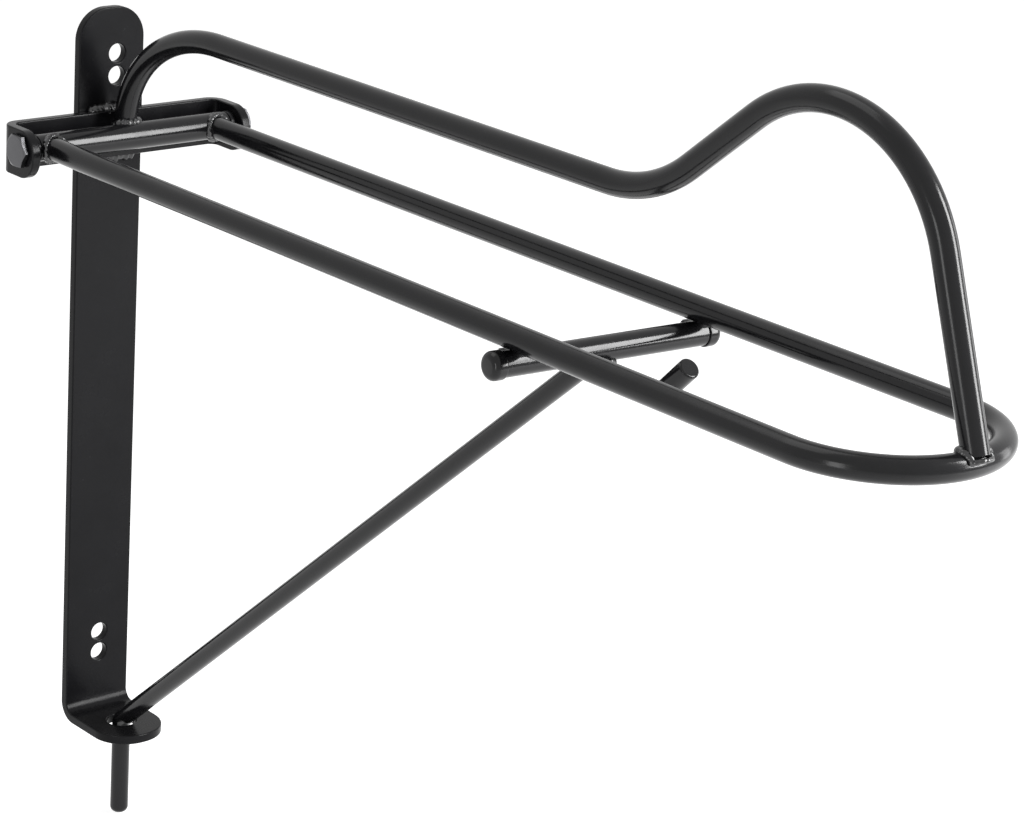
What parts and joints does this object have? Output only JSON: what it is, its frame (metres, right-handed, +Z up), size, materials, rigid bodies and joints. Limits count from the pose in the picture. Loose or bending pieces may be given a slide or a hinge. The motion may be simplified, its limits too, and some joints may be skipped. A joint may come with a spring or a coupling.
{
  "type": "folding saddle rack",
  "caption": "Wall-mounted folding saddle rack: a flat wall plate carries a hinged looped arm with a raised ridge bar, propped by a swinging strut with a crossbar and an upturned hook.",
  "frame": {"origin": "on the back face of the wall plate, on its middle line, level with the side rails' axes", "axes": "+Y points into the wall, the arm reaches towards -Y, +X is to the right of someone who faces the wall, +Z is up"},
  "size_m": [0.1441, 0.6232, 0.5188],
  "materials": {
    "plate_paint": "black enamel, satin gloss",
    "bracket_paint": "black enamel, satin gloss",
    "arm_paint": "black enamel, satin gloss",
    "strut_paint": "black enamel, satin gloss",
    "weld_paint": "black enamel over rough weld beads",
    "fastener_plating": "blackened steel, glossy"
  },
  "bodies": {
    "wall_bracket": {"wall_plate": "plate_paint", "pivot_bracket": "bracket_paint", "bracket_weld_upper": "weld_paint", "bracket_weld_lower": "weld_paint", "pivot_bolt": "fastener_plating", "pivot_nut": "fastener_plating", "spacer_left": "bracket_paint", "spacer_right": "bracket_paint"},
    "arm": {"pivot_sleeve": "arm_paint", "seat_rail_loop": "arm_paint", "ridge_bar": "arm_paint", "sleeve_weld_left": "weld_paint", "sleeve_weld_right": "weld_paint", "ridge_weld_rear": "weld_paint", "ridge_weld_front": "weld_paint"},
    "strut": {"strut_rod": "strut_paint", "crossbar": "strut_paint", "crossbar_cap_left": "strut_paint", "crossbar_cap_right": "strut_paint", "crossbar_lug_left": "weld_paint", "crossbar_lug_right": "weld_paint", "crossbar_weld": "weld_paint"}
  },
  "joints": [
    {"name": "arm_lift", "type": "hinge", "parent": "wall_bracket", "child": "arm", "pos_m": [0, -0.025, 0], "axis": [-1, 0, 0], "range_deg": [0, 8]},
    {"name": "strut_swing", "type": "hinge", "parent": "wall_bracket", "child": "strut", "pos_m": [0, -0.03, -0.3305], "axis": [0, 0, 1], "range_deg": [0, 80]}
  ],
  "couplings": [
    {"joint": "strut_swing", "follows": "arm_lift", "ratio": 10}
  ]
}
